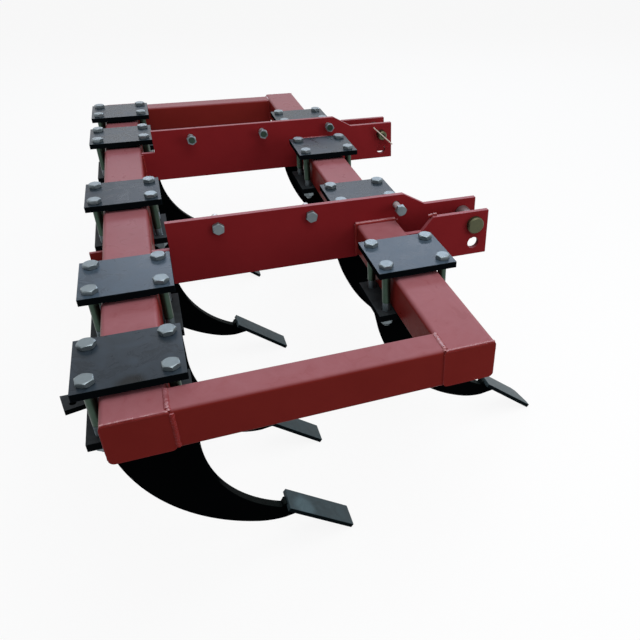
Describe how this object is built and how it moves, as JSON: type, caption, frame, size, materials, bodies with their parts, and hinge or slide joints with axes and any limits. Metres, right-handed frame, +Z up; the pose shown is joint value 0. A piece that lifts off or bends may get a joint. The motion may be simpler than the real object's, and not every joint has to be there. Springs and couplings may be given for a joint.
{
  "type": "mounted tine cultivator",
  "caption": "Tractor-mounted chisel cultivator: two box beams joined by side beams, hitch plates with clevises and pins, clamp plates, curved C tines with flat chisel points.",
  "frame": {"origin": "centre of the footprint on the ground, below the middle of the bounding box", "axes": "+X to the machine's right, +Y forward to the tractor, +Z up"},
  "size_m": [1.718, 1.0196, 0.5938],
  "materials": {
    "frame_paint": "gloss maroon paint",
    "clamp_paint": "satin blue-black paint",
    "tine_paint": "satin black paint",
    "point_steel": "thin dark coat over steel",
    "zinc": "zinc plated",
    "yellow_zinc": "yellow zinc plated"
  },
  "bodies": {
    "root": {"rear_beam": "frame_paint", "front_beam": "frame_paint", "rear_beam_cap_left": "frame_paint", "rear_beam_cap_right": "frame_paint", "front_beam_cap_left": "frame_paint", "front_beam_cap_right": "frame_paint", "side_beam_left": "frame_paint", "side_beam_right": "frame_paint", "hitch_plate_left": "frame_paint", "hitch_lug_left": "frame_paint", "hitch_web_left": "frame_paint", "hitch_plate_right": "frame_paint", "hitch_lug_right": "frame_paint", "hitch_web_right": "frame_paint", "hitch_pin_left": "yellow_zinc", "pin_clip_left": "zinc", "hitch_pin_right": "yellow_zinc", "pin_clip_right": "zinc", "clamp_plate_rear_1": "clamp_paint", "saddle_plate_rear_1": "clamp_paint", "tine_rear_1": "tine_paint", "point_rear_1": "point_steel", "clamp_plate_rear_2": "clamp_paint", "saddle_plate_rear_2": "clamp_paint", "tine_rear_2": "tine_paint", "point_rear_2": "point_steel", "clamp_plate_rear_3": "clamp_paint", "saddle_plate_rear_3": "clamp_paint", "tine_rear_3": "tine_paint", "point_rear_3": "point_steel", "clamp_plate_rear_4": "clamp_paint", "saddle_plate_rear_4": "clamp_paint", "tine_rear_4": "tine_paint", "point_rear_4": "point_steel", "clamp_plate_rear_5": "clamp_paint", "saddle_plate_rear_5": "clamp_paint", "tine_rear_5": "tine_paint", "point_rear_5": "point_steel", "clamp_plate_front_1": "clamp_paint", "saddle_plate_front_1": "clamp_paint", "tine_front_1": "tine_paint", "point_front_1": "point_steel", "clamp_plate_front_2": "clamp_paint", "saddle_plate_front_2": "clamp_paint", "tine_front_2": "tine_paint", "point_front_2": "point_steel", "clamp_plate_front_3": "clamp_paint", "saddle_plate_front_3": "clamp_paint", "tine_front_3": "tine_paint", "point_front_3": "point_steel", "clamp_plate_front_4": "clamp_paint", "saddle_plate_front_4": "clamp_paint", "tine_front_4": "tine_paint", "point_front_4": "point_steel", "clamp_bolts_rear": "zinc", "clamp_bolts_front": "zinc", "link_bushes": "zinc", "mast_bolts_right": "zinc", "mast_bolts_left": "zinc"}
  },
  "joints": []
}
